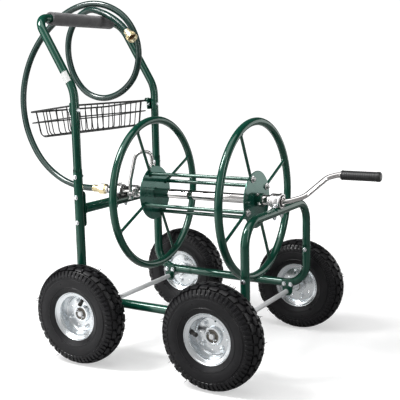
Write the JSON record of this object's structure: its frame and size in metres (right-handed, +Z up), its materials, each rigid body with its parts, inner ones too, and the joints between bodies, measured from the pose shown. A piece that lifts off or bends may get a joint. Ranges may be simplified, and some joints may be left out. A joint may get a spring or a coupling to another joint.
{
  "type": "garden hose reel cart",
  "caption": "Wheeled tube-frame garden hose cart with a hand-cranked open wire-spoke reel, raked push handle, wire basket and short leader hose.",
  "frame": {"origin": "on the ground, under the middle of the cart's length and width, measured without the leader hose", "axes": "+X along the reel axis towards the crank, +Y across the cart towards its far side, +Z up"},
  "size_m": [1.0989, 0.5802, 0.9348],
  "materials": {
    "green_paint": "glossy dark green powder coat",
    "black_paint": "satin black powder coat",
    "chrome": "bright chrome plate",
    "zinc": "bright zinc plate",
    "brass": "machined brass",
    "tyre_rubber": "black tyre rubber",
    "foam": "dark grey foam grip",
    "grip_plastic": "black moulded plastic",
    "hose_pvc": "glossy dark green hose"
  },
  "bodies": {
    "cart_frame": {"handle_tube": "green_paint", "handle_grip": "foam", "rear_upright_near": "green_paint", "rear_upright_far": "green_paint", "side_rail_near": "green_paint", "side_rail_far": "green_paint", "front_hoop": "green_paint", "rear_cross_tube": "green_paint", "cross_plate_near": "green_paint", "cross_plate_far": "green_paint", "rear_axle": "zinc", "front_axle": "zinc", "axle_bracket_rear_near": "green_paint", "axle_bracket_rear_far": "green_paint", "axle_bracket_front_near": "green_paint", "axle_bracket_front_far": "green_paint", "rear_bearing": "black_paint", "front_bearing": "chrome", "inlet_pipe": "chrome", "inlet_ferrule": "brass", "leader_hose": "hose_pvc", "end_ferrule": "brass", "wire_basket": "black_paint", "basket_clip_near": "green_paint", "basket_clip_far": "green_paint"},
    "wheel_rear_near": {"tyre_rear_near": "tyre_rubber", "rim_rear_near": "zinc", "wheel_disc_rear_near": "zinc", "hub_rear_near": "zinc"},
    "wheel_rear_far": {"tyre_rear_far": "tyre_rubber", "rim_rear_far": "zinc", "wheel_disc_rear_far": "zinc", "hub_rear_far": "zinc"},
    "wheel_front_near": {"tyre_front_near": "tyre_rubber", "rim_front_near": "zinc", "wheel_disc_front_near": "zinc", "hub_front_near": "zinc"},
    "wheel_front_far": {"tyre_front_far": "tyre_rubber", "rim_front_far": "zinc", "wheel_disc_front_far": "zinc", "hub_front_far": "zinc"},
    "reel": {"rear_ring": "green_paint", "front_ring": "green_paint", "rear_disc": "green_paint", "front_disc": "green_paint", "drum_bar_1": "green_paint", "drum_bar_2": "green_paint", "drum_bar_3": "green_paint", "drum_bar_4": "green_paint", "reel_shaft": "chrome", "outlet_collar": "chrome", "outlet_pipe": "chrome", "outlet_fitting": "chrome", "crank_rod": "chrome"},
    "crank_handle": {"crank_grip": "grip_plastic"},
    "inlet_coupling": {"inlet_nut": "brass"},
    "hose_coupling": {"end_coupling": "brass"}
  },
  "joints": [
    {"name": "wheel_rear_near_spin", "type": "hinge", "parent": "cart_frame", "child": "wheel_rear_near", "pos_m": [-0.2235, -0.2556, 0.127], "axis": [0, 1, 0], "continuous": true},
    {"name": "wheel_rear_far_spin", "type": "hinge", "parent": "cart_frame", "child": "wheel_rear_far", "pos_m": [-0.2235, 0.2556, 0.127], "axis": [0, 1, 0], "continuous": true},
    {"name": "wheel_front_near_spin", "type": "hinge", "parent": "cart_frame", "child": "wheel_front_near", "pos_m": [0.1585, -0.2556, 0.127], "axis": [0, 1, 0], "continuous": true},
    {"name": "wheel_front_far_spin", "type": "hinge", "parent": "cart_frame", "child": "wheel_front_far", "pos_m": [0.1585, 0.2556, 0.127], "axis": [0, 1, 0], "continuous": true},
    {"name": "reel_spin", "type": "hinge", "parent": "cart_frame", "child": "reel", "pos_m": [-0.0035, 0, 0.4062], "axis": [1, 0, 0], "continuous": true},
    {"name": "crank_handle_spin", "type": "hinge", "parent": "reel", "child": "crank_handle", "pos_m": [0.3865, 0.08985, 0.46612], "axis": [1, 0, 0], "continuous": true},
    {"name": "inlet_coupling_turn", "type": "hinge", "parent": "cart_frame", "child": "inlet_coupling", "pos_m": [-0.3315, 0, 0.4062], "axis": [1, 0, 0], "continuous": true},
    {"name": "hose_coupling_turn", "type": "hinge", "parent": "cart_frame", "child": "hose_coupling", "pos_m": [-0.238, 0.03536, 0.8199], "axis": [0.7639, -0.3236, -0.5583], "continuous": true}
  ]
}
